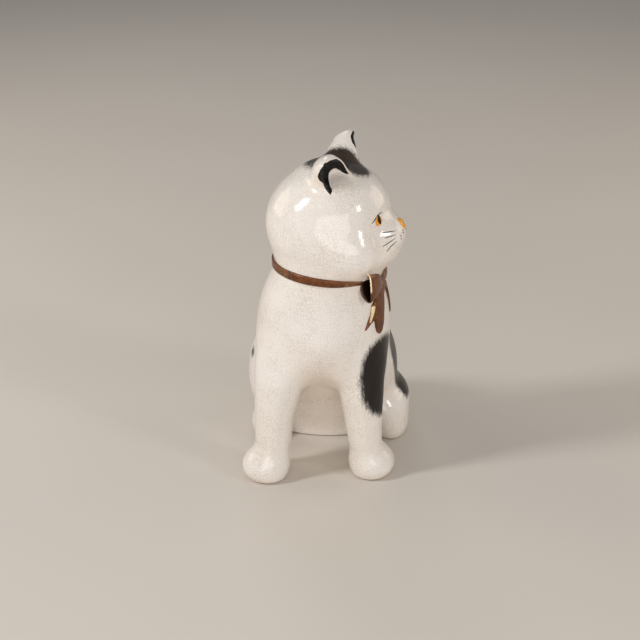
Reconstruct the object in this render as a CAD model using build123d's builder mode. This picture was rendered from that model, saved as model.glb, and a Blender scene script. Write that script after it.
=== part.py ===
"""Seated ceramic cat with its head turned to its left and a ribbon tied round its neck.

The figure is slip-cast earthenware: hollow, thin-walled castings luted together with slip,
then a ribbon, a bow and the enamelled features laid on the outside.
Millimetres, +Z up, the chest faces -Y and the face looks towards +X.
The origin is on the resting plane, at the centre of the whole figure's footprint box.
"""
from build123d import *
import os

# Driving dimensions
WALL = 4.5                  # thickness of a casting
FACING = -17.0              # degrees about Z that the face turns from +X towards the chest side
NECK_X = -1.0
NECK_Y = -36.0
NECK_RADIUS = 38.0
NECK_LENGTH = 14.0
RIBBON_HEIGHT = 161.0       # middle of the ribbon above the floor
RIBBON_WIDTH = 6.4
LAID_ON = 1.6               # how far laid-on work stands off the casting
VENT_RADIUS = 4.0           # firing vent in the base
VENT_Y = 44.0

# Torso: height, centre x, centre y, half width, half depth of each level section
TORSO = [
    (0, 0, 38, 53, 37),
    (30, 0, 30, 57, 45),
    (65, -2, 12, 54, 57),
    (100, -4.5, -14, 50, 59),
    (132, -4, -29, 46.5, 45.5),
    (RIBBON_HEIGHT, NECK_X, NECK_Y, NECK_RADIUS, NECK_RADIUS),
]
HAUNCH_CENTRE = (38, 31, 40)
HAUNCH_SIZE = (26, 40, 45)

# Forelegs: height, centre x, centre y, half width, half depth, from the wrist to the shoulder
RIGHT_LEG = [(2, -44, -59, 12, 13), (38, -42, -57, 13.6, 14.5), (66, -38.5, -53, 16.5, 17), (106, -33, -38, 19, 20)]
LEFT_LEG = [(2, 29, -52, 12, 13), (38, 27, -53, 12.8, 14.5), (66, 25, -51, 16, 17), (106, 23, -38, 19, 20)]
PAW_SIZE = (16.2, 17, 13.5)
RIGHT_PAW = (-48.7, -58, 9.5)
LEFT_PAW = (33, -52, 9.5)

# Hind feet
HIND_FOOT_SIZE = (15, 25, 13)
LEFT_HIND_FOOT = (49.9, 16, 8)
RIGHT_HIND_FOOT = (-46, 14, 8)

# Tail: a round roll along the back of the base
TAIL_RADIUS = 7.5
TAIL_PATH = [(12, 64, 30), (-4, 69.8, 15), (-26, 69.8, 9), (-48, 57, 8)]

# Head, in its own frame: +X out through the nose, origin at the middle of the skull
HEAD_FRAME = Location((-1, -36, 193), (0, 0, FACING))
SKULL = ((0, 0, 0), (45, 42, 44))
MUZZLE = ((36, 0, -9), (20, 26, 20))
BROW = ((17, 0, 12), (30, 35, 29))
EYE_PLACE = (41, 18, 11.5)
EYE_SIZE = (4, 5, 5)
NOSE_PLACE = (53, 0, 2.5)
NOSE_SIZE = (4, 5, 5)

# Ears: hoods whose mouths turn away from the nose and which lean away from the crown. Sections across
# the ear for the left side: place along it, centre out of the mouth, centre across, half sizes
EAR_TURN = 28.0
EAR_LEAN = 35.0
EAR = [
    (16, 9, -12.5, 13, 11),
    (36, 12.5, -12.4, 14.5, 12),
    (47, 15.8, -11.8, 12.8, 11.6),
    (56, 18.2, -10.7, 8, 8.6),
    (62, 20.6, -9.4, 1.8, 2.2),
]
EAR_HOLLOW = [
    (32, 24.5, -10.5, 9.5, 8),
    (45, 24.5, -11, 10.5, 9.2),
    (53, 24.5, -9.8, 9.6, 8.5),
    (59, 24.5, -8.4, 5, 3.6),
]
LEFT_EAR_STRETCH = 1.05     # the left ear is pulled a little longer than the right

# Bow: loops and streamers to both sides of a knot, in degrees and millimetres round the neck
BOW_FRAME = Location((NECK_X, NECK_Y, 0), (0, 0, -12))
BOW_HEIGHT = 155.5          # middle of the loops above the floor
BOW_RADIUS = 41.5           # middle of the loops from the neck's axis
KNOT_SIZE = (4, 6.6, 6.6)
KNOT_RADIUS = 38.0
LOOP_START = 5.0
LOOP_END = 41.0
LOOP_MOUTH = (4.6, 11)      # half depth and half height of a loop's open end
LOOP_SHARES = [(0.0, 0.45), (0.4, 0.78), (1.0, 1.0)]    # way along the loop, size there
LOOP_THICKNESS = 1.6
# Streamer outline: distance across from the middle of the knot, height above the floor
STREAMER = [(0, 150), (10, 147), (15, 139), (19, 131.5), (24.4, 122.4), (21.2, 124.6), (15.2, 127.4),
            (13.8, 121), (12, 117), (9.2, 114.8), (6.4, 116.4), (4.5, 123), (3, 143)]
STREAMER_START = 25.0       # the outline is drawn this far out from the neck's axis
STREAMER_DEPTH = 30.0


def ellipsoid(size):
    """A solid ellipsoid about the origin, with the three half sizes given."""
    with BuildPart() as shape:
        Sphere(1)
        scale(by=size)
    return shape.part


def level_loft(sections, inset=0.0):
    """A smooth solid through level ellipses, each drawn in by the inset."""
    with BuildPart() as shape:
        for height, centre_x, centre_y, half_width, half_depth in sections:
            with BuildSketch(Plane.XY.offset(height)):
                with Locations((centre_x, centre_y)):
                    Ellipse(half_width - inset, half_depth - inset)
        loft()
    return shape.part


def smaller(size, inset):
    """The half sizes of an ellipsoid drawn in by the inset."""
    return tuple(value - inset for value in size)


def body_outline(inset=0.0):
    """Torso and haunches as one solid standing on the floor, drawn in by the inset."""
    levels = [(height + (inset if height == 0 else 0), *rest) for height, *rest in TORSO]
    with BuildPart() as shape:
        add(level_loft(levels, inset))
        for side in (-1, 1):
            with Locations((side * HAUNCH_CENTRE[0], HAUNCH_CENTRE[1], HAUNCH_CENTRE[2])):
                add(ellipsoid(smaller(HAUNCH_SIZE, inset)))
        split(bisect_by=Plane.XY.offset(inset), keep=Keep.TOP)
    return shape.part


def head_outline(inset=0.0):
    """Skull, brow and muzzle as one solid, drawn in by the inset and ending at the neck seam."""
    with BuildPart() as shape:
        for centre, size in (SKULL, BROW, MUZZLE):
            with Locations(HEAD_FRAME * Location(centre)):
                add(ellipsoid(smaller(size, inset)))
        with Locations((NECK_X, NECK_Y, RIBBON_HEIGHT)):
            Cylinder(NECK_RADIUS - inset, NECK_LENGTH)
        split(bisect_by=Plane.XY.offset(RIBBON_HEIGHT), keep=Keep.TOP)
    return shape.part


body_solid = body_outline()
head_solid = head_outline()

# Body casting: hollow and open at the neck, with a flat base and a firing vent
with BuildPart() as body_shell:
    add(body_solid)
    add(body_outline(WALL), mode=Mode.SUBTRACT)
    with Locations((0, VENT_Y, WALL / 2)):
        Cylinder(VENT_RADIUS, 3 * WALL, mode=Mode.SUBTRACT)

# Head casting: hollow, open at the neck
with BuildPart() as head_shell:
    add(head_solid)
    add(head_outline(WALL), mode=Mode.SUBTRACT)


def foreleg(sections, paw_centre):
    """One foreleg and its paw: a hollow casting open to the chest, flat under the paw."""
    with BuildPart() as hollow:
        add(level_loft(sections, WALL))
        split(bisect_by=Plane.XY.offset(2 * WALL), keep=Keep.TOP)
    with BuildPart() as shape:
        add(level_loft(sections))
        with Locations(paw_centre):
            add(ellipsoid(PAW_SIZE))
        split(bisect_by=Plane.XY, keep=Keep.TOP)
        add(hollow.part, mode=Mode.SUBTRACT)
        add(body_solid, mode=Mode.SUBTRACT)
    return shape.part


with BuildPart() as right_foreleg:
    add(foreleg(RIGHT_LEG, RIGHT_PAW))

with BuildPart() as left_foreleg:
    add(foreleg(LEFT_LEG, LEFT_PAW))


def hind_foot(centre):
    """One hind foot: a solid pad showing below and outside the haunch."""
    with BuildPart() as shape:
        with Locations(centre):
            add(ellipsoid(HIND_FOOT_SIZE))
        split(bisect_by=Plane.XY, keep=Keep.TOP)
        add(body_solid, mode=Mode.SUBTRACT)
    return shape.part


with BuildPart() as left_hind_foot:
    add(hind_foot(LEFT_HIND_FOOT))

with BuildPart() as right_hind_foot:
    add(hind_foot(RIGHT_HIND_FOOT))

# Tail: rolled clay laid round the back of the base
with BuildPart() as tail:
    with BuildLine() as tail_line:
        Spline(*TAIL_PATH)
    with BuildSketch(Plane(origin=TAIL_PATH[0], z_dir=tail_line.line % 0)):
        Circle(TAIL_RADIUS)
    sweep()
    with Locations(TAIL_PATH[-1]):
        Sphere(TAIL_RADIUS)
    split(bisect_by=Plane.XY, keep=Keep.TOP)
    add(body_solid, mode=Mode.SUBTRACT)


def ear_sections(table, side, stretch):
    """An ear's sections mirrored to one side and stretched along the ear."""
    return [(along * stretch, out, side * across, half_out, half_across)
            for along, out, across, half_out, half_across in table]


def ear(side, stretch):
    """One ear, standing on the skull, with its hollow facing out of the mouth."""
    with BuildPart() as shape:
        add(level_loft(ear_sections(EAR, side, stretch)))
        add(level_loft(ear_sections(EAR_HOLLOW, side, stretch)), mode=Mode.SUBTRACT)
    frame = HEAD_FRAME * Location((0, 0, 0), (0, 0, side * EAR_TURN)) * Location((0, 0, 0), (-side * EAR_LEAN, 0, 0))
    return frame * shape.part


with BuildPart() as left_ear:
    add(ear(1, LEFT_EAR_STRETCH))
    add(head_solid, mode=Mode.SUBTRACT)

with BuildPart() as right_ear:
    add(ear(-1, 1.0))
    add(head_solid, mode=Mode.SUBTRACT)


def enamel_spot(place, size):
    """A thin raised spot of enamel where an ellipsoid breaks through the face."""
    with BuildPart() as shape:
        with Locations(HEAD_FRAME * Location(place)):
            add(ellipsoid(size))
        add(head_solid, mode=Mode.SUBTRACT)
    return shape.part


with BuildPart() as left_eye:
    add(enamel_spot(EYE_PLACE, EYE_SIZE))

with BuildPart() as right_eye:
    add(enamel_spot((EYE_PLACE[0], -EYE_PLACE[1], EYE_PLACE[2]), EYE_SIZE))

with BuildPart() as nose:
    add(enamel_spot(NOSE_PLACE, NOSE_SIZE))

# Ribbon: a flat band round the neck, over the seam between head and body
with BuildPart() as collar_ribbon:
    with Locations((NECK_X, NECK_Y, RIBBON_HEIGHT)):
        Cylinder(NECK_RADIUS + 2 * LAID_ON, RIBBON_WIDTH)
    add(head_solid, mode=Mode.SUBTRACT)
    add(body_solid, mode=Mode.SUBTRACT)

# Knot: a rounded lump below the ribbon, under the chin
with BuildPart() as bow_knot:
    with Locations(BOW_FRAME * Location((KNOT_RADIUS + LAID_ON, 0, BOW_HEIGHT))):
        add(ellipsoid(KNOT_SIZE))
    for neighbour in (head_solid, body_solid, collar_ribbon.part):
        add(neighbour, mode=Mode.SUBTRACT)


def loop_loft(side, inset, start, end):
    """A smooth horn along the neck, from a narrow start to the loop's open end, in degrees."""
    mouth_depth, mouth_height = LOOP_MOUTH
    across = Plane(origin=(BOW_RADIUS, 0, BOW_HEIGHT), x_dir=(1, 0, 0), z_dir=(0, side, 0))
    with BuildPart() as shape:
        for share, size in LOOP_SHARES:
            turn = Location((0, 0, 0), (0, 0, side * (start + share * (end - start))))
            with BuildSketch(Plane(BOW_FRAME * turn * across.location)):
                Ellipse(mouth_depth * size - inset, mouth_height * size - inset)
        loft()
    return shape.part


def bow_loop(side):
    """One loop of the bow: a thin flattened tube, open at the end away from the knot."""
    with BuildPart() as shape:
        add(loop_loft(side, 0, LOOP_START, LOOP_END))
        add(loop_loft(side, LOOP_THICKNESS, LOOP_START + 6, LOOP_END + 3), mode=Mode.SUBTRACT)
        for neighbour in (head_solid, body_solid, collar_ribbon.part, bow_knot.part):
            add(neighbour, mode=Mode.SUBTRACT)
    return shape.part


def streamer(side):
    """One swallow-tailed streamer lying on the chest below the knot."""
    outline = [(side * across, height) for across, height in STREAMER]
    upright = Plane(origin=(STREAMER_START, 0, 0), x_dir=(0, 1, 0), z_dir=(1, 0, 0))
    with BuildPart() as shape:
        with BuildSketch(Plane(BOW_FRAME * upright.location)):
            with BuildLine():
                Polyline(*outline, close=True)
            make_face()
        extrude(amount=STREAMER_DEPTH)
        add(body_outline(-LAID_ON), mode=Mode.INTERSECT)
        for neighbour in (body_solid, head_solid, collar_ribbon.part, bow_knot.part):
            add(neighbour, mode=Mode.SUBTRACT)
    return shape.part


with BuildPart() as bow_loop_left:
    add(bow_loop(1))

with BuildPart() as bow_loop_right:
    add(bow_loop(-1))

with BuildPart() as bow_tail_left:
    add(streamer(1))
    add(bow_loop_left.part, mode=Mode.SUBTRACT)

with BuildPart() as bow_tail_right:
    add(streamer(-1))
    add(bow_loop_right.part, mode=Mode.SUBTRACT)

PARTS = {
    "body_shell": body_shell,
    "head_shell": head_shell,
    "right_foreleg": right_foreleg,
    "left_foreleg": left_foreleg,
    "left_hind_foot": left_hind_foot,
    "right_hind_foot": right_hind_foot,
    "tail": tail,
    "left_ear": left_ear,
    "right_ear": right_ear,
    "left_eye": left_eye,
    "right_eye": right_eye,
    "nose": nose,
    "collar_ribbon": collar_ribbon,
    "bow_knot": bow_knot,
    "bow_loop_left": bow_loop_left,
    "bow_loop_right": bow_loop_right,
    "bow_tail_left": bow_tail_left,
    "bow_tail_right": bow_tail_right,
}

os.makedirs("parts", exist_ok=True)
for label, piece in PARTS.items():
    piece.part.label = label
    export_step(piece.part, f"parts/{label}.step")
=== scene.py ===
"""Looks for the seated ceramic cat: crackle-glazed castings, lustred ribbon and bow, enamelled face.

The figure is sculpted as smooth distance fields (in millimetres, in the frame's axes), meshed,
and each mesh stands for the castings that it covers.
"""
import itertools
import math
import bpy
import numpy as np
import openvdb
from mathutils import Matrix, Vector


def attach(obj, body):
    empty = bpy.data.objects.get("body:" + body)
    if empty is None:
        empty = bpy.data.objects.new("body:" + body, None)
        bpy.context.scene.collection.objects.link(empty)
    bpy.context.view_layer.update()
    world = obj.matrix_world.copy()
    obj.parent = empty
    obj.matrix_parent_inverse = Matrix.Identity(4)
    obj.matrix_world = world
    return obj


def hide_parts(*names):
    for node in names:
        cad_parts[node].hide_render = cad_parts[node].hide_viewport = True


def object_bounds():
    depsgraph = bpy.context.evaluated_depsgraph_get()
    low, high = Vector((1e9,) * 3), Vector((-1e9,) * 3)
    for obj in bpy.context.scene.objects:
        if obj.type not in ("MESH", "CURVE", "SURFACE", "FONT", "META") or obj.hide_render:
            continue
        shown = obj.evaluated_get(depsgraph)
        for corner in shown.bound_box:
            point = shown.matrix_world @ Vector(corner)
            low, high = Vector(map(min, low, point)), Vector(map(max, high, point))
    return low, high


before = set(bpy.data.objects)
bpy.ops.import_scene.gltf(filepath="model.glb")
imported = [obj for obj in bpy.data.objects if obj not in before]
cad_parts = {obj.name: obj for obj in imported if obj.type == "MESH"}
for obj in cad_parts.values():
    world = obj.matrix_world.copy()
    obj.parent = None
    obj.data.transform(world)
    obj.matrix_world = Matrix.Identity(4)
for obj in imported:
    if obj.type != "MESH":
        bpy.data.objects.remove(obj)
cad_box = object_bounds()
MM = 0.001

# ---------------------------------------------------------------- sculpting: distance fields
FAR = 9.0                                   # a field's value where its surface isn't near
FACING = math.radians(-17)                  # the face turns from +X towards the chest side
HEAD_CENTRE = np.array((-1.0, -36.0, 193.0))
NECK_CENTRE = np.array((-1.0, -36.0, 160.0))

# Torso: height, centre x, centre y, half width, half depth of its level sections
TORSO = np.array([
    (-12, 0, 38, 52, 36),
    (0, 0, 37, 53, 37),
    (30, 0, 31, 55, 46),
    (62, -2, 14, 52, 54),
    (85, -3.6, -4, 49.9, 61),
    (108, -4.4, -18, 49.6, 57),
    (130, -4, -28, 47, 47),
    (150, -3, -34, 41.5, 40.5),
    (162, -1.5, -36, 37, 37.5),
    (175, -1, -36, 31, 31),
    (188, -1, -36, 20, 20),
])


def turned(angle):
    """The two level axes of a frame turned about Z, and Z, as matrix columns."""
    cosine, sine = math.cos(angle), math.sin(angle)
    return np.array(((cosine, -sine, 0), (sine, cosine, 0), (0, 0, 1)))


def into_head(points):
    """World points in the head's own frame: +X out through the nose, +Y to the cat's left."""
    return (points - HEAD_CENTRE) @ turned(FACING)


def ramped(value, start, end):
    """0 to 1 as a value goes from start to end, and held beyond them."""
    return np.clip((value - start) / (end - start), 0, 1)


def ellipsoid(points, centre, size):
    """Distance to an ellipsoid of the given half sizes, close enough near its surface."""
    local = points - np.array(centre, float)
    size = np.array(size, float)
    scaled = np.linalg.norm(local / size, axis=1)
    slope = np.linalg.norm(local / size ** 2, axis=1)
    return scaled * (scaled - 1) / np.maximum(slope, 1e-9)


def limb(points, start, end, start_radius, end_radius):
    """Distance to a round limb that tapers between two points."""
    start, end = np.array(start, float), np.array(end, float)
    along = np.clip((points - start) @ (end - start) / np.sum((end - start) ** 2), 0, 1)
    nearest = start + along[:, None] * (end - start)
    return np.linalg.norm(points - nearest, axis=1) - (start_radius + along * (end_radius - start_radius))


def join(a, b, blend):
    """Union of two fields with a fillet of about the blend's size."""
    share = np.clip(0.5 + 0.5 * (b - a) / blend, 0, 1)
    return b + (a - b) * share - blend * share * (1 - share)


def carve(a, b, blend):
    """Field a with field b cut away, its edge rounded by the blend."""
    return -join(-a, b, blend)


def meet(a, b, blend):
    """Intersection of two fields with a rounded edge."""
    return -join(-a, -b, blend)


def joined(field, points, lumps):
    """A field with ellipsoids joined on: each lump is a centre, half sizes and a blend."""
    for centre, size, blend in lumps:
        field = join(field, ellipsoid(points, centre, size), blend)
    return field


def smooth_levels(table, height):
    """Rows of a level table at the given heights, by a cubic through the rows."""
    levels = table[:, 0]
    slopes = np.gradient(table[:, 1:], levels, axis=0)
    index = np.clip(np.searchsorted(levels, height) - 1, 0, len(levels) - 2)
    gap = (levels[index + 1] - levels[index])[:, None]
    t = np.clip((height - levels[index])[:, None] / gap, 0, 1)
    a, b = table[index, 1:], table[index + 1, 1:]
    sa, sb = slopes[index] * gap, slopes[index + 1] * gap
    return ((2 * t ** 3 - 3 * t ** 2 + 1) * a + (t ** 3 - 2 * t ** 2 + t) * sa
            + (3 * t ** 2 - 2 * t ** 3) * b + (t ** 3 - t ** 2) * sb)


def level_stack(points, table):
    """Distance to a solid whose level sections are the ellipses of a table."""
    rows = smooth_levels(table, points[:, 2])
    across = (points[:, :2] - rows[:, :2]) / rows[:, 2:]
    radius = np.linalg.norm(across, axis=1)
    side = (radius - 1) * np.minimum(rows[:, 2], rows[:, 3])
    ends = np.maximum(table[0, 0] - points[:, 2], points[:, 2] - table[-1, 0])
    return np.maximum(side, ends)


# Forelegs: the same columns as the torso's, from below the floor to inside the shoulder
RIGHT_LEG = np.array([
    (-12, -44, -58, 8, 9),
    (10, -43.2, -58, 11.5, 13),
    (30, -41.7, -57, 13.4, 14.5),
    (50, -40.3, -55, 14.8, 15.8),
    (70, -37.5, -52, 17.5, 18.5),
    (90, -33.5, -46, 20.5, 21),
    (110, -28, -37, 19, 20),
    (130, -24, -32, 8, 8),
])
LEFT_LEG = np.array([
    (-12, 29.5, -52.5, 8, 9),
    (10, 28.5, -53, 11.2, 13),
    (30, 26.5, -54, 12.7, 14.5),
    (50, 24.8, -53, 14.5, 15.8),
    (70, 23, -51, 17, 18.5),
    (90, 20, -45, 20, 21),
    (110, 15, -36, 19, 20),
    (130, 12, -32, 8, 8),
])
# Paws: centre, half sizes
RIGHT_PAW = ((-48.3, -57.5, 9), (16.8, 18, 13.5))
LEFT_PAW = ((32.8, -52, 9), (16.5, 18, 13.5))
FORELEGS = ((RIGHT_LEG, RIGHT_PAW), (LEFT_LEG, LEFT_PAW))
PAW_BLEND = 9
SHOULDER_BLEND = 14

# Lumps on the torso: centre, half sizes, blend
HAUNCHES = (
    ((-38, 30, 46), (25.8, 39, 42), 10),        # right haunch
    ((26, 23, 60), (27, 35, 38), 9),            # left haunch, its upper part
    ((42, 26, 25), (23, 35, 18.5), 8),          # left haunch, its folded knee
)
HIND_FEET = (
    ((49, 16, 9), (15, 25, 17), 9),             # left
    ((-47, 14, 8), (14.5, 24, 13), 5),          # right
)

# Points along the tail, from the rump to its tip: x, y, z, radius
TAIL = ((14, 62, 34, 9), (0, 70, 18, 8.5), (-18, 71, 9, 8), (-36, 66, 7.5, 7.5), (-49, 55, 7, 6.5))
TAIL_BLEND = 3


def body_field(points):
    """Torso, haunches, legs, feet and tail in one smooth skin, standing on the floor."""
    body = joined(level_stack(points, TORSO), points, HAUNCHES)
    for leg, paw in FORELEGS:
        column = join(level_stack(points, leg), ellipsoid(points, *paw), PAW_BLEND)
        body = join(body, column, SHOULDER_BLEND)
    body = joined(body, points, HIND_FEET)
    roll = None
    for start, end in zip(TAIL, TAIL[1:]):
        length = limb(points, start[:3], end[:3], start[3], end[3])
        roll = length if roll is None else join(roll, length, TAIL_BLEND)
    return join(body, roll, TAIL_BLEND)


# Skull and the lumps on it, in the head's frame: centre, half sizes, blend
SKULL = ((0, 0, 0), (44.5, 43, 43))
SKULL_LUMPS = (
    ((10.8, 0, 16), (29.6, 34.5, 24.5), 10),    # brow
    ((-5, 3, 11), (27, 29, 33.6), 4),           # crown
    ((17, -24, -12), (25, 18, 20), 10),         # right cheek
    ((17, 24, -12), (25, 18, 20), 10),          # left cheek
    ((28, 0, -13), (20.5, 26, 14), 8),          # jaw
    ((37, 0, -4), (19, 20, 15.8), 6),           # muzzle
    ((35.4, 0, -16.5), (13.5, 19.5, 11.6), 9),  # chin
)
NECK_BLEND = 13

# Ears: hoods that lean away from the crown, their mouths turned outwards from the nose. In the mouth's
# frame (+X out of the mouth, +Z along the ear): place on Z, centre x, centre y, half depth, half width
EAR_TURN = math.radians(28)
EAR_LEAN = math.radians(35)
EAR = np.array([
    (16, 9, -12.5, 13, 11),
    (30, 11, -12.5, 14.5, 12),
    (40, 14, -12.2, 14.3, 12),
    (46.5, 15.8, -11.8, 12.8, 11.6),
    (51, 17.2, -11.3, 10.4, 10.4),
    (55, 18.2, -10.7, 8, 8.6),
    (57.4, 19.2, -10, 5, 6.2),
    (59, 20.3, -9.5, 2.4, 3.4),
    (59.7, 21, -9.3, 0.6, 0.8),
])
EAR_HOLLOW = np.array([
    (24, 24, -10.5, 5, 5),
    (32, 24, -10.7, 9.5, 7.8),
    (38, 24.5, -11.1, 10, 9),
    (45, 24.5, -11, 10.5, 10),
    (50, 24.5, -10.6, 10, 9.6),
    (53.5, 24.5, -10, 9.2, 8),
    (56.2, 24.5, -9.5, 7, 5.2),
    (57.8, 24.5, -9, 4, 2.6),
    (58.4, 24.5, -8.8, 1.5, 0.8),
])
EAR_BLEND = 6                               # the ear into the skull
HOLLOW_BLEND = 4                            # the hollow's floor, where the skull swells into it
EAR_RIM = 1.6                               # rounding of the rim

# The left ear is a little longer than the right, and its mouth is pinched back below the tip
LEFT_EAR_STRETCH = 1.075
LEFT_EAR_PINCH = {"share": 0.08, "from": 59, "to": 51, "hinge": 5}

# The unpainted swelling inside the ear's mouth
LINING_GAP = np.array([
    (10, 24, -10, 60, 24),
    (34.8, 24, -9.5, 60, 16),
    (36.4, 24, -9.3, 60, 11.2),
    (38.6, 24, -9.2, 60, 9.6),
    (40.2, 24, -11.5, 60, 7.3),
    (41.2, 24, -13.2, 60, 5.0),
    (42.4, 24, -14.9, 60, 2.9),
    (43.3, 24, -15.3, 60, 0.9),
])
# How far, in mm, the black lining spills over the hollow's edge
LINING_SPILL = {"all_round": 0.1, "low_at_the_back": 2.8, "left_front": 2.4, "right_back": 1.5}


def mirrored(points, side):
    """Head-frame points, flipped so that the given side reads as the cat's left."""
    return points * (1, side, 1)


def into_ear(points, side):
    """Head-frame points in the frame of one ear's mouth."""
    out = mirrored(points, side) @ turned(EAR_TURN)
    sine, cosine = math.sin(EAR_LEAN), math.cos(EAR_LEAN)
    along = sine * out[:, 1] + cosine * out[:, 2]
    forward = out[:, 0]
    if side > 0:
        along = along / LEFT_EAR_STRETCH
        pinch = LEFT_EAR_PINCH["share"] * ramped(along, LEFT_EAR_PINCH["from"], LEFT_EAR_PINCH["to"])
        forward = forward + pinch * (forward - LEFT_EAR_PINCH["hinge"])
    return np.stack((forward, cosine * out[:, 1] - sine * out[:, 2], along), 1)


def skull_field(points):
    """Skull, brow, cheeks and muzzle, without the ears; points in the head's frame."""
    return joined(ellipsoid(points, *SKULL), points, SKULL_LUMPS)


def head_field(points):
    """The whole head with its hooded ears."""
    p = into_head(points)
    skull = skull_field(p)
    head = skull
    for side in (-1, 1):
        head = join(head, level_stack(into_ear(p, side), EAR), EAR_BLEND)
    for side in (-1, 1):
        hollow = carve(level_stack(into_ear(p, side), EAR_HOLLOW), skull, HOLLOW_BLEND)
        head = carve(head, hollow, EAR_RIM)
    return head


def figure_field(points):
    """Body and head as one skin, with the hollow of the neck between them."""
    return join(body_field(points), head_field(points), NECK_BLEND)


def lining_field(points):
    """Negative where the inside of an ear is painted black."""
    p = into_head(points)
    painted = np.full(len(points), FAR)
    for side in (-1, 1):
        q = into_ear(p, side)
        sideways, along = q[:, 1], q[:, 2]
        spill = LINING_SPILL["all_round"]
        spill += LINING_SPILL["low_at_the_back"] * ramped(along, 47, 38) * ramped(sideways, -10, -2)
        if side > 0:
            spill += LINING_SPILL["left_front"] * ramped(sideways, -14, -17) * ramped(along, 40, 46)
        else:
            reach = ramped(along, 46, 50) * ramped(along, 59.5, 57.5)
            spill += LINING_SPILL["right_back"] * ramped(sideways, -12, -8) * reach
        hollow = level_stack(q, EAR_HOLLOW) - spill
        bulge = level_stack(q, LINING_GAP)
        painted = np.minimum(painted, np.maximum(hollow, -bulge))
    return painted


# Airbrushed patches. The crown's is an ellipsoid in the head's frame, the shoulder's a squared oval in
# degrees round the neck and mm up, and the haunch's an ellipsoid cut off at its front and lower edges
CROWN_PATCH = ((6, 1, 40), (23.5, 15.5, 16))
SHOULDER_PATCH = {"turn": -20, "half_turn": 34.5, "height": 80.5, "half_height": 30, "mean_half": 25,
                  "inner_edge": 18}
SQUARENESS = 2.4
HAUNCH_PATCH = ((62, 25, 62), (36, 37, 46))
HAUNCH_EDGE = {"front": 8.5, "slant": 0.42, "slants_from": 45, "slants_over": 45}
HAUNCH_LOWER_EDGE = 28.5
HAUNCH_ROUNDING = 5
RIGHT_SPOT = ((-60.5, 18.5, 66), (5, 5, 3.4))


def crown_field(points):
    """Negative in the airbrushed patch between the ears."""
    return ellipsoid(into_head(points), *CROWN_PATCH)


def flank_field(points):
    """Negative in the airbrushed patches: left shoulder, left haunch and a spot on the right haunch."""
    x, y, z = points.T
    turn = np.degrees(np.arctan2(y - NECK_CENTRE[1], x - NECK_CENTRE[0]))
    sideways = np.abs((turn - SHOULDER_PATCH["turn"]) / SHOULDER_PATCH["half_turn"])
    upwards = np.abs((z - SHOULDER_PATCH["height"]) / SHOULDER_PATCH["half_height"])
    oval = (sideways ** SQUARENESS + upwards ** SQUARENESS) ** (1 / SQUARENESS)
    shoulder = np.maximum(SHOULDER_PATCH["mean_half"] * (oval - 1), SHOULDER_PATCH["inner_edge"] - x)
    edge = HAUNCH_EDGE
    front = edge["front"] - edge["slant"] * np.clip(z - edge["slants_from"], 0, edge["slants_over"]) - y
    cut = meet(front, HAUNCH_LOWER_EDGE - z, HAUNCH_ROUNDING)
    haunch = meet(cut, ellipsoid(points, *HAUNCH_PATCH), HAUNCH_ROUNDING)
    haunch = np.where(x > 20, haunch, 20)       # the left side only
    return np.minimum(np.minimum(shoulder, haunch), ellipsoid(points, *RIGHT_SPOT))


# Ribbon and bow, in mm and degrees round the neck
RIBBON = {"half_width": 3.1, "proud": 1.5, "sunk": 1.5}
UNDER_BOW = {"narrower": 1.5, "narrow_to": 62, "flatter": 1.0, "flat_to": 46}
RIBBON_HEIGHT = {"side": 162.4, "tilt": 0.05, "dip": 6, "dip_to": 40}
BOW_ANGLE = -12.0
BOW_HEIGHT = 155.6
BOW_LEAN = 0.11                             # mm outwards for each mm down
KNOT_HEIGHT = 153.9
KNOT = {"out": 36.0, "half_sizes": (6.6, 3.6, 6.6), "crease": 0.3}
LOOP_OUT = 36.4                             # from the neck's axis to the back of a loop's pinched end
LOOP_START = 9.0                            # degrees from the knot's middle to a loop's pinched end
LOOP_HOLLOW_START = 14.0                    # and to where its hollow starts
LOOP_SPAN = 41.0                            # and to its open mouth
LOOP_DEPTH, MOUTH_DEPTH = 2.0, 4.0          # half depth of a loop at its pinched end and at its mouth
LOOP_TALL, MOUTH_TALL = 4.2, 11.1           # and its half height
LOOP_FLARE = 2.3                            # mm that the mouth stands further out
LOOP_WALL = 1.5
MOUTH_SLANT = 0.9                           # degrees that a mouth's edge stops short, for each mm outwards
MOUTH_CURVE = 0.0207                        # and for each square mm up or down from the loop's middle
ROUND_KNOT, ROUND_STREAMER, ROUND_LOOP = 41, 39, 42     # radius at which each turns degrees into mm
MM_PER_DEGREE = math.radians(1) * ROUND_LOOP

# The right streamer's outline, mm across from the knot and up from the floor
STREAMER = np.array([
    (3.5, 150), (-4, 149.5), (-11.5, 145.5), (-16.6, 140.6), (-18.7, 138.5), (-19.6, 133),
    (-24.4, 122.4), (-19.8, 126.2), (-15.4, 128.4),                         # the swallow tail's outer end
    (-13.8, 121), (-12, 117), (-9.2, 114.8), (-6.4, 116.4), (-4.6, 121.6),  # and its inner end
    (-4.3, 130.4), (-3, 143),
])
STREAMER_ROUNDING = 0.5
STREAMER_THICKNESS = {"end": 1.4, "top": 1.9, "sunk": 1.2}
LEFT_STREAMER_SWING = {"top": 2.2, "slope": 0.42, "from_height": 150}
# Middle line of the painted gold highlight on a streamer's outer edge
STREAMER_GLINT = np.array([(-17.8, 137.6), (-18.6, 133.5), (-20.8, 127.8)])


def round_neck(points):
    """Degrees round the neck from the knot, distance out from the neck's axis, and height."""
    x, y, z = (points - NECK_CENTRE).T
    angle = (np.degrees(np.arctan2(y, x)) - BOW_ANGLE + 180) % 360 - 180
    return angle, np.hypot(x, y), z + NECK_CENTRE[2]


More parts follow.
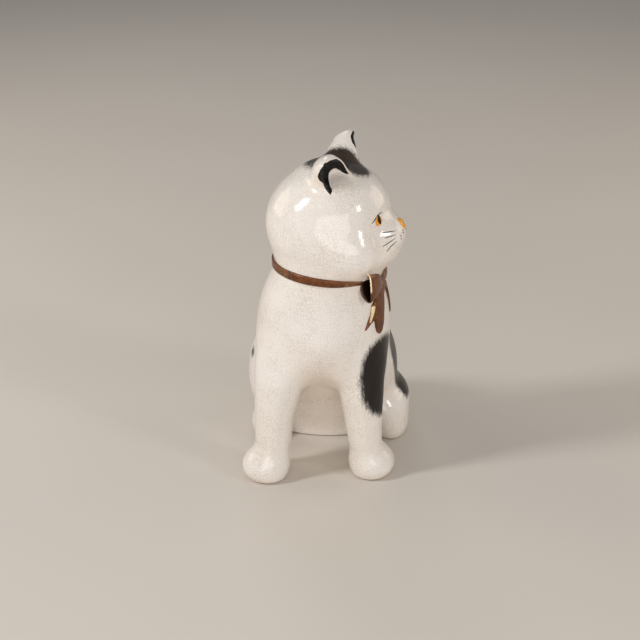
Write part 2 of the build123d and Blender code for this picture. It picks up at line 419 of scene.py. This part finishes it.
def ribbon_height(points):
    """Middle of the ribbon: it rides up a little on the cat's right and dips into the bow."""
    angle = round_neck(points)[0]
    dip = RIBBON_HEIGHT["dip"] * np.exp(-(angle / RIBBON_HEIGHT["dip_to"]) ** 4)
    return RIBBON_HEIGHT["side"] - RIBBON_HEIGHT["tilt"] * points[:, 0] - dip


def ribbon_field(points):
    """A flat band laid round the neck, narrower and flatter where it runs under the bow."""
    angle = round_neck(points)[0]
    half = RIBBON["half_width"] - UNDER_BOW["narrower"] * np.exp(-(angle / UNDER_BOW["narrow_to"]) ** 6)
    skin = figure_field(points)
    slab = np.abs(points[:, 2] - ribbon_height(points)) - half
    proud = RIBBON["proud"] - UNDER_BOW["flatter"] * np.exp(-(angle / UNDER_BOW["flat_to"]) ** 6)
    return meet(meet(skin - proud, slab, 1.4), -skin - RIBBON["sunk"], 0.5)


def bow_lean(height):
    """How much further out the bow stands, to follow the neck as it widens downwards."""
    below = BOW_HEIGHT - height
    return BOW_LEAN * (below + np.sqrt(below ** 2 + 9))


def knot_field(points):
    """The knot: a pinched bead with creases round it."""
    angle, out, height = round_neck(points)
    along = np.radians(angle) * ROUND_KNOT
    shape = np.stack((along, out - KNOT["out"] - bow_lean(height), height - KNOT_HEIGHT), 1)
    bead = ellipsoid(shape, (0, 0, 0), KNOT["half_sizes"])
    return bead + KNOT["crease"] * np.cos(height * 1.5) * ramped(np.abs(along), 7, 0)


def loop_place(points, side):
    """Degrees along a loop, the half sizes of its section there, and how far out and up from its middle."""
    angle, out, height = round_neck(points)
    angle = angle * side
    share = ramped(angle, LOOP_START, LOOP_SPAN)
    deep = LOOP_DEPTH + (MOUTH_DEPTH - LOOP_DEPTH) * share
    tall = LOOP_TALL + (MOUTH_TALL - LOOP_TALL) * np.clip(share, 1e-4, 1) ** 0.7
    middle = KNOT_HEIGHT + (BOW_HEIGHT - KNOT_HEIGHT) * np.minimum(1, 3 * share)
    outwards = out - LOOP_OUT - LOOP_FLARE * share - deep - bow_lean(height)
    across = np.stack((outwards, height - middle), 1)
    return angle, np.stack((deep, tall), 1), across


def past_mouth(angle, across):
    """How far, in mm, a point lies past a loop's slanting open edge."""
    edge = LOOP_SPAN - MOUTH_SLANT * across[:, 0] - MOUTH_CURVE * across[:, 1] ** 2
    return (angle - edge) * MM_PER_DEGREE


def loop_field(points, side):
    """A loop of the bow, a flattened cone of thin clay that opens away from the knot."""
    angle, sizes, across = loop_place(points, side)

    def tube(inset):
        radius = np.linalg.norm(across / (sizes - inset), axis=1)
        slope = np.linalg.norm(across / (sizes - inset) ** 2, axis=1)
        return radius * (radius - 1) / np.maximum(slope, 1e-6)

    outer = meet(tube(0), past_mouth(angle, across), 1.1)
    outer = meet(outer, -angle * MM_PER_DEGREE, 1)
    inner = np.maximum(tube(LOOP_WALL), (LOOP_HOLLOW_START - angle) * MM_PER_DEGREE)
    return carve(outer, inner, 0.9)


def polygon(points, corners):
    """Signed distance in the plane to a closed outline."""
    best = np.full(len(points), 1e9)
    inside = np.zeros(len(points), bool)
    for start, end in zip(corners, np.roll(corners, -1, axis=0)):
        edge = end - start
        offset = points - start
        share = np.clip(offset @ edge / (edge @ edge), 0, 1)
        best = np.minimum(best, np.sum((offset - share[:, None] * edge) ** 2, axis=1))
        crosses = (start[1] > points[:, 1]) != (end[1] > points[:, 1])
        rise = edge[1] if edge[1] != 0 else 1e-9
        inside ^= crosses & (points[:, 0] < start[0] + (points[:, 1] - start[1]) * edge[0] / rise)
    return np.where(inside, -1, 1) * np.sqrt(best)


def streamer_place(points, side):
    """Points on a streamer's outline, across and up; the left one hangs further away."""
    angle, _, height = round_neck(points)
    swing = 0.0
    if side > 0:
        below = LEFT_STREAMER_SWING["from_height"] - height
        swing = LEFT_STREAMER_SWING["top"] + LEFT_STREAMER_SWING["slope"] * below
    return np.stack((-side * np.radians(angle) * ROUND_STREAMER + swing, height), 1)


def streamer_field(points, side):
    """A swallow-tailed streamer laid down from the knot."""
    outline = polygon(streamer_place(points, side), STREAMER) - STREAMER_ROUNDING
    thick = STREAMER_THICKNESS
    swell = thick["end"] + (thick["top"] - thick["end"]) * ramped(points[:, 2], 128, 148)
    skin = figure_field(points)
    return meet(meet(skin - swell, outline, 1.3), -skin - thick["sunk"], 0.5)


# Enamelled face, in the head's frame for the cat's left side. The eye and its pupil are y, z outlines
EYE = np.array([
    (19.4, 12), (17.1, 14.5), (15.6, 13.6), (14.9, 10.7), (16.5, 8.6), (18.4, 8.1), (19.3, 9.6),
])
EYE_ROUNDING = 0.6
EYE_RAISED, EYE_SUNK = 0.45, 0.6
LEFT_EYE_SHIFT = 2.0                        # the left eye was painted this much further round the head
PUPIL = {"centre": (16.9, 11.8), "half_width": 1.5, "half_length": 3.8, "tilt": math.radians(-4.5)}
LID_THICKNESS = 0.36
LID = ((37.8, 22.6, 10.5), (38.5, 21.1, 11.6), (39.6, 18.6, 13.6), (40.6, 15.5, 15.2), (41.8, 12.1, 15.5))
WHISKER_THICKNESS = 0.28
WHISKERS = (
    ((43.9, 17.7, 2.8), (47.5, 14.5, 2.6), (51.3, 10.4, 2.4)),
    ((45.4, 18.0, -0.9), (48.6, 15.2, -0.4), (51.7, 11.6, 0)),
    ((44.6, 19.6, -6.6), (48.5, 16.0, -4.2), (51.9, 12.2, -2.2)),
    ((46.5, 17.0, -10.8), (49.2, 14.9, -7.5), (52.5, 11.5, -4.7)),
)
LINE_RAISED = 0.2                           # how far the painted lines stand out of the glaze
DOT_RADIUS = 0.55
DOTS = ((54.6, 3.9, 1.1), (55.2, 3.8, -0.7), (54.5, 7.5, -2.0), (54.7, 7.2, -4.1))
NOSE = {"across": 0.8, "height": 4.4, "half_width": 3.0, "half_tall": 3.4, "raised": 0.9, "in_front": 40}
# ---------------------------------------------------------------- end of sculpting


# ---------------------------------------------------------------- meshing
BLOCK = 8                                   # samples along a block of the sparse grid
SETTLE_ROUNDS = 3


def gradient(field, points, reach=0.05):
    """Slope of a field, by central differences."""
    steps = np.eye(3) * reach
    return np.stack([(field(points + step) - field(points - step)) / (2 * reach) for step in steps], 1)


def sampled(field, low, high, step):
    """The field on a grid, worked out in full only in the blocks near its surface."""
    low = np.array(low, float)
    counts = np.ceil((np.array(high, float) - low) / (step * BLOCK)).astype(int)
    blocks = np.stack(np.meshgrid(*[np.arange(n) for n in counts], indexing="ij"), -1).reshape(-1, 3)
    coarse = field(low + (blocks + 0.5) * BLOCK * step)
    near = np.abs(coarse) < BLOCK * step * 2 + 2
    grid = np.repeat(np.where(coarse > 0, FAR, -FAR)[:, None], BLOCK ** 3, axis=1)
    inner = np.stack(np.meshgrid(*[np.arange(BLOCK)] * 3, indexing="ij"), -1).reshape(-1, 3)
    places = low + (blocks[near][:, None, :] * BLOCK + inner[None]) * step
    grid[near] = field(places.reshape(-1, 3)).reshape(-1, BLOCK ** 3)
    grid = grid.reshape(*counts, BLOCK, BLOCK, BLOCK).transpose(0, 3, 1, 4, 2, 5)
    return grid.reshape(*(counts * BLOCK))


def settled(field, points, step):
    """Points moved onto the field's surface."""
    for _ in range(SETTLE_ROUNDS):
        slope = gradient(field, points)
        move = field(points)[:, None] * slope / np.maximum(np.sum(slope ** 2, axis=1), 0.05)[:, None]
        length = np.linalg.norm(move, axis=1)[:, None]
        points = points - move * np.minimum(1, 0.6 * step / np.maximum(length, 1e-9))
    return points


def sculpt(name, field, low, high, step, paint=None):
    """A closed mesh of a field's surface, with painted fields kept on its points."""
    grid = openvdb.FloatGrid(FAR)
    grid.copyFromArray(sampled(field, low, high, step).astype(np.float32), ijk=(0, 0, 0), tolerance=0.0)
    grid.transform = openvdb.createLinearTransform(step)
    points, quads = grid.convertToQuads(0.0)
    points = settled(field, np.array(points, float) + np.array(low, float), step)
    mesh = bpy.data.meshes.new(name)
    mesh.from_pydata((points * MM).tolist(), [], quads[:, ::-1].tolist())
    mesh.polygons.foreach_set("use_smooth", [True] * len(mesh.polygons))
    for label, worth in (paint or {}).items():
        layer = mesh.attributes.new(label, "FLOAT", "POINT")
        layer.data.foreach_set("value", worth(points).astype(np.float32))
    mesh.update()
    piece = bpy.data.objects.new(name, mesh)
    bpy.context.scene.collection.objects.link(piece)
    print("sculpted", name, len(points), "points")
    return piece


def add_piece(piece, material, slot, *nodes):
    """Dress a sculpted piece, hang it on the root and hide the parts that it stands for."""
    piece.data.materials.append(material)
    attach(piece, "root")
    if nodes:
        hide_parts(*nodes)


# ---------------------------------------------------------------- materials
def colour(red, green, blue):
    """A display colour, 0 to 255, as the linear values that shaders use."""
    shares = (red / 255, green / 255, blue / 255)
    return tuple(v / 12.92 if v <= 0.04 else ((v + 0.055) / 1.055) ** 2.4 for v in shares) + (1,)


class Shader:
    """A material's node tree, built by short calls."""

    def __init__(self, name):
        self.material = bpy.data.materials.new(name)
        self.material.use_nodes = True
        self.tree = self.material.node_tree
        self.surface = self.tree.nodes["Principled BSDF"]
        self.place = self.node("ShaderNodeTexCoord").outputs["Object"]

    def node(self, kind, values=None, **settings):
        """A new node, its settings given by name and its inputs set or linked."""
        made = self.tree.nodes.new(kind)
        for key, value in settings.items():
            setattr(made, key, value)
        for key, value in (values or {}).items():
            self.feed(made.inputs[key], value)
        return made

    def feed(self, socket, value):
        """Set a socket, or link it when the value is another socket."""
        if isinstance(value, bpy.types.NodeSocket):
            self.tree.links.new(value, socket)
        else:
            socket.default_value = value

    def noise(self, scale, detail, place=None, output="Fac"):
        """Noise of a scale in cycles per metre, over the object or another place."""
        values = {"Vector": place or self.place, "Scale": scale, "Detail": detail}
        return self.node("ShaderNodeTexNoise", values).outputs[output]

    def math(self, operation, a, b):
        """A sum or the like of two values."""
        return self.node("ShaderNodeMath", {0: a, 1: b}, operation=operation).outputs[0]

    def vector(self, operation, a, b):
        """The same of two vectors, or of a vector and a scale."""
        second = "Scale" if operation == "SCALE" else 1
        return self.node("ShaderNodeVectorMath", {0: a, second: b}, operation=operation).outputs[0]

    def swing(self, noise, reach):
        """A noise swung about zero by the given reach."""
        return self.math("MULTIPLY", self.math("SUBTRACT", noise, 0.5), reach)

    def ramp(self, value, low, high, start=0.0, end=1.0):
        """A value's smooth step between two limits, from start to end."""
        limits = {"Value": value, "From Min": low, "From Max": high, "To Min": start, "To Max": end}
        return self.node("ShaderNodeMapRange", limits, interpolation_type="SMOOTHSTEP").outputs["Result"]

    def mix(self, share, a, b):
        """A colour that goes from a to b."""
        made = self.node("ShaderNodeMix", data_type="RGBA")
        for key, value in ((0, share), (6, a), (7, b)):
            self.feed(made.inputs[key], value)
        return made.outputs[2]

    def attribute(self, name):
        """A painted field, as the mesh keeps it on its points."""
        return self.node("ShaderNodeAttribute", attribute_name=name).outputs["Fac"]

    def set(self, **values):
        """Inputs of the material's own shader, by name."""
        for key, value in values.items():
            self.feed(self.surface.inputs[key.replace("_", " ")], value)

    def bump(self, height, distance, strength, under=None):
        """A normal from a height, on top of another normal."""
        made = self.node("ShaderNodeBump", {"Height": height, "Distance": distance, "Strength": strength})
        if under is not None:
            self.feed(made.inputs["Normal"], under)
        return made.outputs["Normal"]


CRACKLE_CELL = 2.0 * MM
BARE_CLAY_HEIGHT = (0.4 * MM, 0.9 * MM)     # the foot is wiped clean of glaze below this


def crackle(shader, cell, width):
    """1 on the fine crazing lines of a glaze, 0 between them."""
    wobble = shader.vector("SUBTRACT", shader.noise(1 / (3 * cell), 2, output="Color"), (0.5, 0.5, 0.5))
    place = shader.vector("ADD", shader.place, shader.vector("SCALE", wobble, cell * 0.9))
    cells = shader.node("ShaderNodeTexVoronoi", {"Vector": place, "Scale": 1 / cell, "Randomness": 0.85},
                        feature="DISTANCE_TO_EDGE")
    return shader.ramp(cells.outputs["Distance"], 0.0, width, 1.0, 0.0)


def sprayed(shader, distance):
    """1 inside an airbrushed patch, with a feathered and streaky edge."""
    stretch = shader.node("ShaderNodeMapping", {"Vector": shader.place, "Scale": (1, 1, 0.35)}).outputs[0]
    streaks = shader.swing(shader.noise(520, 3, stretch), 5.0)
    grain = shader.swing(shader.noise(1700, 3), 6.0)
    edge = shader.math("ADD", distance, shader.math("ADD", streaks, grain))
    return shader.ramp(edge, -2.2, 2.6, 1.0, 0.0)


def glaze_material():
    """Cream crackle glaze with airbrushed black-brown patches, painted shade in its creases and on its
    undersides, and bare clay underneath.
    """
    s = Shader("crackle_glaze")
    fine = crackle(s, CRACKLE_CELL, 0.12)
    coarse = crackle(s, CRACKLE_CELL * 2.5, 0.055)
    depth = s.ramp(s.noise(45, 3), 0.35, 0.7, 0.45, 1.0)
    lines = s.math("MULTIPLY", s.math("MAXIMUM", fine, s.math("MULTIPLY", coarse, 0.75)), depth)
    cream = s.mix(s.ramp(s.noise(22, 4), 0.35, 0.65), colour(240, 234, 228), colour(234, 227, 219))
    # painted shade: a warm darker tint in the creases and on the undersides
    cream = s.mix(s.math("MULTIPLY", s.attribute("painted_shade"), 0.75), cream, colour(236, 204, 164))
    cream = s.mix(s.math("MULTIPLY", lines, 0.4), cream, colour(172, 154, 138))
    brown = s.ramp(s.attribute("crown"), -1.0, 3.0, 1.0, 0.0)
    black = s.mix(s.noise(160, 3), colour(22, 18, 17), colour(40, 33, 29))
    brown = s.math("MULTIPLY", brown, s.ramp(s.noise(70, 2), 0.3, 0.7, 0.3, 1.0))
    black = s.mix(brown, black, colour(68, 55, 46))
    painted = sprayed(s, s.attribute("patch"))
    lined = s.ramp(s.attribute("lining"), -0.02, 0.25, 1.0, 0.0)
    skin = s.mix(lined, s.mix(painted, cream, black), colour(12, 9, 8))
    height = s.node("ShaderNodeSeparateXYZ", {0: s.place}).outputs["Z"]
    skin = s.mix(s.ramp(height, *BARE_CLAY_HEIGHT, 1.0, 0.0), skin, colour(206, 186, 158))
    s.set(Base_Color=skin, Roughness=s.math("ADD", s.math("MULTIPLY", lines, 0.15), 0.42))
    swell = s.bump(s.noise(70, 2), 0.35 * MM, 0.35)
    s.set(Normal=s.bump(lines, -0.05 * MM, 0.5, swell), Specular_IOR_Level=0.1)
    thin = s.math("SUBTRACT", 1.0, s.math("MULTIPLY", s.math("MAXIMUM", painted, lined), 0.6))
    s.set(Coat_Weight=s.math("MULTIPLY", s.ramp(height, *BARE_CLAY_HEIGHT, 0.0, 1.0), thin))
    s.set(Coat_Roughness=0.12, Coat_IOR=1.5, IOR=1.5)
    return s.material


def lustre_material():
    """Brown-bronze lustre, with painted gold highlights along rims and edges, a few thin gold flecks, and
    painted dark shade inside the loops.
    """
    s = Shader("bronze_lustre")
    brush = s.noise(260, 4)
    body = s.mix(s.ramp(brush, 0.3, 0.7), colour(88, 48, 22), colour(128, 74, 36))
    # painted shade: dark brown where the attribute is below zero, inside the loops and where the ribbon
    # runs under them
    body = s.mix(s.ramp(s.attribute("gold_and_painted_light"), -0.8, -0.2, 1.0, 0.0), body, colour(36, 20, 16))
    # painted highlight: pale gold on the loops' rims and the streamers' edges; thin real gold flecks on the
    # ribbon and knot
    gold_and_painted_light = s.mix(s.noise(300, 3), colour(250, 214, 146), colour(255, 240, 206))
    glint_and_flecks = s.math("ADD", s.attribute("gold_and_painted_light"), s.swing(s.noise(420, 3), 0.4))
    s.set(Base_Color=s.mix(s.ramp(glint_and_flecks, 0.3, 0.85), body, gold_and_painted_light))
    s.set(Metallic=s.ramp(glint_and_flecks, 0.35, 0.7, 0.45, 0.3))
    s.set(Roughness=s.ramp(brush, 0.3, 0.7, 0.3, 0.42), Coat_Weight=0.12, Coat_Roughness=0.1)
    s.set(Normal=s.bump(s.noise(500, 2), 0.12 * MM, 0.25))
    return s.material


def enamel_material(name, light, dark, attribute=None):
    """Raised glossy enamel, mottled between two colours, black where an attribute is below zero."""
    s = Shader(name)
    paint = s.mix(s.ramp(s.noise(700, 3), 0.35, 0.65), light, dark)
    if attribute:
        paint = s.mix(s.ramp(s.attribute(attribute), -0.06, 0.08, 1.0, 0.0), paint, colour(10, 8, 7))
    s.set(Base_Color=paint, Roughness=s.ramp(s.noise(900, 2), 0.3, 0.7, 0.24, 0.36), Coat_Weight=0.5,
          Coat_Roughness=0.06, Specular_IOR_Level=0.3, Normal=s.bump(s.noise(900, 2), 0.04 * MM, 0.3))
    return s.material


# ---------------------------------------------------------------- pieces
# Painted shade: how strongly the creases and the undersides get a warm darker tint
SHADE_REACHES = (4.0, 9.0, 16.0)             # mm out from the skin at which other skin is felt for
SHADE_WEIGHTS = {"creases": 0.45, "undersides": 0.8, "undersides_from": 0.25}


def painted_shade(points):
    """0 to 1 where shade is painted into the glaze: a warm darker tint in the creases and on the
    undersides.
    """
    slope = gradient(figure_field, points, 0.3)
    normal = slope / np.maximum(np.linalg.norm(slope, axis=1), 1e-6)[:, None]
    shut = np.zeros(len(points))
    for reach in SHADE_REACHES:
        shut += np.clip(1 - figure_field(points + normal * reach) / reach, 0, 1) / len(SHADE_REACHES)
    under = np.clip(-normal[:, 2] - SHADE_WEIGHTS["undersides_from"], 0, 1)
    return np.clip(SHADE_WEIGHTS["creases"] * shut + SHADE_WEIGHTS["undersides"] * under, 0, 1)


def patches(points):
    """Negative in every airbrushed patch."""
    return np.minimum(flank_field(points), crown_field(points))


SKIN_PAINT = {"painted_shade": painted_shade, "patch": patches, "lining": lining_field, "crown": crown_field}
CAD_LOW, CAD_HIGH = (np.array(corner) / MM for corner in cad_box)
BASE_ROUNDING = 2.2                         # where the sides meet the flat base
VENT = {"x": 0.0, "y": 44.0, "radius": 4.0, "depth": 12}    # the firing vent in the base


def body_casting(points):
    """The figure below the ribbon, with its flat base and vent."""
    body = meet(figure_field(points), points[:, 2] - ribbon_height(points), 0.5)
    body = carve(body, points[:, 2], BASE_ROUNDING)
    bore = np.hypot(points[:, 0] - VENT["x"], points[:, 1] - VENT["y"]) - VENT["radius"]
    return carve(body, np.maximum(bore, points[:, 2] - VENT["depth"]), 0.8)


def head_casting(points):
    """The figure above the ribbon."""
    return meet(figure_field(points), ribbon_height(points) - points[:, 2], 0.5)


GOLD_FULL = 1.3                             # painted gold highlight at its strongest; everything over 1 looks the same
RIM_FADE = 0.8                              # mm over which the rim's painted highlight grows by 1
GLINT_WIDTH = {"low": 0.9, "growth": 0.12, "from_height": 127, "grows_over": 11}


def rim_glint_and_shade(side):
    """A painted gold highlight along a loop's open mouth, 0 to 1; -1 inside, where dark shade is painted.
    """
    def measure(points):
        angle, sizes, across = loop_place(points, side)
        gold_and_painted_light = np.clip(GOLD_FULL + past_mouth(angle, across) / RIM_FADE, 0, 1)
        gold_and_painted_light = gold_and_painted_light * (across[:, 0] > -1.5) * ramped(across[:, 1], -4, -1)
        inside = np.linalg.norm(across / (sizes - 0.7 * LOOP_WALL), axis=1) < 1
        return np.where(inside & (angle > LOOP_START + 2), -1, gold_and_painted_light)
    return measure


def gold_glint(side):
    """A painted gold highlight along a streamer's outer edge, 0 to 1."""
    def measure(points):
        place = streamer_place(points, side)
        nearest = np.full(len(points), FAR)
        for start, end in zip(STREAMER_GLINT, STREAMER_GLINT[1:]):
            run = end - start
            share = np.clip((place - start) @ run / (run @ run), 0, 1)
            nearest = np.minimum(nearest, np.linalg.norm(place - start - share[:, None] * run, axis=1))
        above = np.clip(place[:, 1] - GLINT_WIDTH["from_height"], 0, GLINT_WIDTH["grows_over"])
        width = GLINT_WIDTH["low"] + GLINT_WIDTH["growth"] * above
        return np.clip(GOLD_FULL - nearest / width, 0, 1)
    return measure


def gold_flecks_and_shade(points):
    """Thin gold where the ribbon's band was brushed twice, and painted dark shade where it runs in under
    the bow's loops.
    """
    angle = round_neck(points)[0]
    brushed = 0.25 + 0.12 * np.sin(np.radians(angle) * 5)
    # painted shade: below zero, so dark, where the band runs in under the loops
    return brushed - 1.4 * ramped(np.abs(angle), LOOP_SPAN + 5, LOOP_SPAN + 1)


def thin_gold(points):
    """An even, thin lustre."""
    return np.full(len(points), 0.2)


def head_box(low, high):
    """World corners of a box given in the head's frame."""
    corners = np.array(list(itertools.product(*zip(low, high))))
    world = corners @ turned(FACING).T + HEAD_CENTRE
    return world.min(axis=0) - 1, world.max(axis=0) + 1


def eye_place(points, side):
    """Points across and up, seen from in front of the muzzle, as the right eye has them."""
    return mirrored(into_head(points), side)[:, 1:] - (LEFT_EYE_SHIFT if side > 0 else 0, 0)


def eye_outline(points, side):
    """Distance to the eye's outline."""
    return polygon(eye_place(points, side), EYE) - EYE_ROUNDING


def eye_field(side):
    """A raised almond of enamel on the skull."""
    def field(points):
        skin = head_field(points)
        in_front = 30 - mirrored(into_head(points), side)[:, 0]
        almond = np.maximum(eye_outline(points, side) * 0.8, in_front)
        return meet(skin - EYE_RAISED, np.maximum(almond, -EYE_SUNK - skin), 0.35)
    return field


def pupil(side):
    """Negative on the slanted pupil."""
    def field(points):
        p = eye_place(points, side) - PUPIL["centre"]
        cosine, sine = math.cos(PUPIL["tilt"]), math.sin(PUPIL["tilt"])
        across, up = cosine * p[:, 0] + sine * p[:, 1], cosine * p[:, 1] - sine * p[:, 0]
        return np.abs(across) - PUPIL["half_width"] * (1 - (up / PUPIL["half_length"]) ** 2)
    return field


def on_skin(places, side):
    """Head-frame places of one side, as world points laid on the head."""
    world = mirrored(np.array(places, float), side) @ turned(FACING).T + HEAD_CENTRE
    return settled(head_field, world, 2.0)


def stroke_swell(along):
    """How thick a brush stroke is at 0 to 1 of its length: thin at both ends."""
    return 0.45 + 0.75 * np.sin(np.pi * np.clip(along, 0.03, 0.97)) ** 0.6


def lines_field(side):
    """Lid line, whiskers and muzzle dots of one side of the face."""
    strokes = []
    lid = np.array(LID) + (0, LEFT_EYE_SHIFT if side > 0 else 0, 0)
    for line, thick in [(lid, LID_THICKNESS)] + [(whisker, WHISKER_THICKNESS) for whisker in WHISKERS]:
        strokes.append((on_skin(line, side), thick))
    dots = on_skin(DOTS, side)

    def field(points):
        skin = head_field(points)
        marks = np.full(len(points), FAR)
        for line, thick in strokes:
            count = len(line) - 1
            for index, (start, end) in enumerate(zip(line, line[1:])):
                run = end - start
                share = np.clip((points - start) @ run / (run @ run), 0, 1)
                off = np.linalg.norm(points - (start + share[:, None] * run), axis=1)
                marks = np.minimum(marks, off - thick * stroke_swell((index + share) / count))
        for dot in dots:
            marks = np.minimum(marks, np.linalg.norm(points - dot, axis=1) - DOT_RADIUS)
        return meet(np.abs(skin) - LINE_RAISED, marks, 0.1)
    return field


def nose_field(points):
    """The nose: a raised pad, thicker and a little wider at its top."""
    p = into_head(points)
    up = (p[:, 2] - NOSE["height"]) / NOSE["half_tall"]
    pad = np.hypot((p[:, 1] - NOSE["across"]) / (NOSE["half_width"] * (1 + 0.05 * up)), up) - 1
    skin = head_field(points)
    top = skin - NOSE["raised"] - NOSE["raised"] * np.clip(up, 0, 1)
    sides = np.maximum(pad * NOSE["half_width"], NOSE["in_front"] - p[:, 0])
    return meet(top, np.maximum(sides, -skin - 1), 1.0)


glaze = glaze_material()
lustre = lustre_material()
amber = enamel_material("eye_enamel", colour(246, 176, 58), colour(228, 140, 34), "pupil")
black_line = enamel_material("line_enamel", colour(44, 38, 36), colour(24, 20, 20))
orange = enamel_material("nose_enamel", colour(244, 176, 64), colour(236, 150, 44))

# Boxes that the pieces are sculpted in, world frame: low corner, high corner
BODY_BOX = (CAD_LOW - 6, (CAD_HIGH[0] + 6, CAD_HIGH[1] + 6, 172))
HEAD_BOX = ((-52, -100, 156), (66, 24, 262))
RIBBON_BOX = ((-46, -82, 148), (44, 10, 172))
KNOT_BOX = ((24, -64, 142), (48, -24, 166))
LOOP_BOX = ((10, -86, 140), (54, 8, 174))
STREAMER_BOX = ((10, -78, 108), (48, 0, 156))
# and in the head's frame, for the cat's left side
EYE_BOX = ((34, 11, 5), (48, 29, 19))
LINES_BOX = ((34, -2, -18), (60, 28, 20))
NOSE_BOX = ((44, -8, -2), (62, 8, 12))


def on_side(box, side):
    """World corners of a box of the head's frame, for either side of the face."""
    low, high = box
    if side < 0:
        low, high = (low[0], -high[1], low[2]), (high[0], -low[1], high[2])
    return head_box(low, high)


def one_side(field, side):
    """A field that takes a side, as the field of that side."""
    def field_there(points):
        return field(points, side)
    return field_there


body = sculpt("body_casting", body_casting, *BODY_BOX, 1.25, SKIN_PAINT)
add_piece(body, glaze, "crackle_glaze", "body_shell", "right_foreleg", "left_foreleg", "left_hind_foot",
          "right_hind_foot", "tail")
head = sculpt("head_casting", head_casting, *HEAD_BOX, 0.7, SKIN_PAINT)
add_piece(head, glaze, "crackle_glaze", "head_shell", "left_ear", "right_ear")

ribbon = sculpt("collar_ribbon_band", ribbon_field, *RIBBON_BOX, 0.5, {"gold_and_painted_light": gold_flecks_and_shade})
add_piece(ribbon, lustre, "bronze_lustre", "collar_ribbon")
knot = sculpt("bow_knot_bead", knot_field, *KNOT_BOX, 0.4, {"gold_and_painted_light": thin_gold})
add_piece(knot, lustre, "bronze_lustre", "bow_knot")
for side, word in ((-1, "right"), (1, "left")):
    loop = one_side(loop_field, side)
    piece = sculpt("bow_loop_" + word + "_open", loop, *LOOP_BOX, 0.45, {"gold_and_painted_light": rim_glint_and_shade(side)})
    add_piece(piece, lustre, "bronze_lustre", "bow_loop_" + word)
    streamer = one_side(streamer_field, side)
    piece = sculpt("bow_tail_" + word + "_laid", streamer, *STREAMER_BOX, 0.4, {"gold_and_painted_light": gold_glint(side)})
    add_piece(piece, lustre, "bronze_lustre", "bow_tail_" + word)
    piece = sculpt(word + "_eye_enamel", eye_field(side), *on_side(EYE_BOX, side), 0.16,
                   {"pupil": pupil(side)})
    add_piece(piece, amber, "eye_enamel", word + "_eye")
    piece = sculpt(word + "_face_lines", lines_field(side), *on_side(LINES_BOX, side), 0.13)
    add_piece(piece, black_line, "eye_enamel")
nose = sculpt("nose_pad", nose_field, *head_box(*NOSE_BOX), 0.2)
add_piece(nose, orange, "nose_enamel", "nose")


# ---------------------------------------------------------------- floor, light, camera
def lay_floor(size, material):
    """A flat square that the figure stands on."""
    mesh = bpy.data.meshes.new("floor")
    half = size / 2
    corners = [(x * half, y * half, 0) for x, y in ((-1, -1), (1, -1), (1, 1), (-1, 1))]
    mesh.from_pydata(corners, [], [(0, 1, 2, 3)])
    made = bpy.data.objects.new("floor", mesh)
    mesh.materials.append(material)
    bpy.context.scene.collection.objects.link(made)


def area_light(name, place, target, size, power, tint=(1, 1, 1)):
    """A soft rectangular light that faces a point."""
    lamp = bpy.data.lights.new(name, "AREA")
    lamp.shape = "RECTANGLE"
    lamp.size, lamp.size_y = size
    lamp.energy = power
    lamp.color = tint
    made = bpy.data.objects.new(name, lamp)
    made.location = place
    made.rotation_euler = (Vector(target) - Vector(place)).to_track_quat("-Z", "Y").to_euler()
    bpy.context.scene.collection.objects.link(made)


floor_shader = Shader("pale_floor")
mottle = floor_shader.mix(floor_shader.noise(3, 2), colour(216, 210, 203), colour(211, 204, 195))
floor_shader.set(Base_Color=mottle, Roughness=0.8, Specular_IOR_Level=0.2)
lay_floor(12.0, floor_shader.material)

MIDDLE = (0.0, -0.02, 0.12)
area_light("key_window", (-1.07, -0.43, 1.01), MIDDLE, (0.2, 0.4), 8, (1.0, 0.99, 0.97))
area_light("fill", (1.08, -0.83, 0.73), MIDDLE, (0.24, 0.34), 3.2, (1.0, 0.98, 0.96))
area_light("front_soft", (0, -1.35, 0.32), (0, -0.02, 0.08), (1.4, 0.55), 7, (1.0, 0.98, 0.96))
area_light("warm_side_left", (-1.3, 0.5, 0.6), MIDDLE, (0.8, 0.8), 3.5, (1.0, 0.84, 0.64))
area_light("warm_side_right", (1.3, 0.5, 0.6), MIDDLE, (0.8, 0.8), 3.5, (1.0, 0.84, 0.64))
area_light("back", (-0.3, 1.4, 1.3), MIDDLE, (0.6, 0.4), 2.5)

world = bpy.data.worlds.new("studio")
bpy.context.scene.world = world
world.use_nodes = True
sky = world.node_tree.nodes["Background"]
sky.inputs["Color"].default_value = (1.0, 0.985, 0.975, 1)
sky.inputs["Strength"].default_value = 0.3
bpy.context.scene.view_settings.view_transform = "Standard"

CAMERA_RISE = math.radians(24)              # the viewing angle, looking along +Y and down
CAMERA_DISTANCE = 0.905
CAMERA_TARGET = Vector((-0.0069, -0.040, 0.119))
camera = bpy.data.objects.new("camera", bpy.data.cameras.new("camera"))
bpy.context.scene.collection.objects.link(camera)
towards_camera = Vector((0, -math.cos(CAMERA_RISE), math.sin(CAMERA_RISE)))
camera.location = CAMERA_TARGET + CAMERA_DISTANCE * towards_camera
camera.rotation_euler = (math.pi / 2 - CAMERA_RISE, 0, 0)
camera.data.sensor_width = 36.0
camera.data.lens = 69.98
camera.data.clip_end = 30
bpy.context.scene.camera = camera
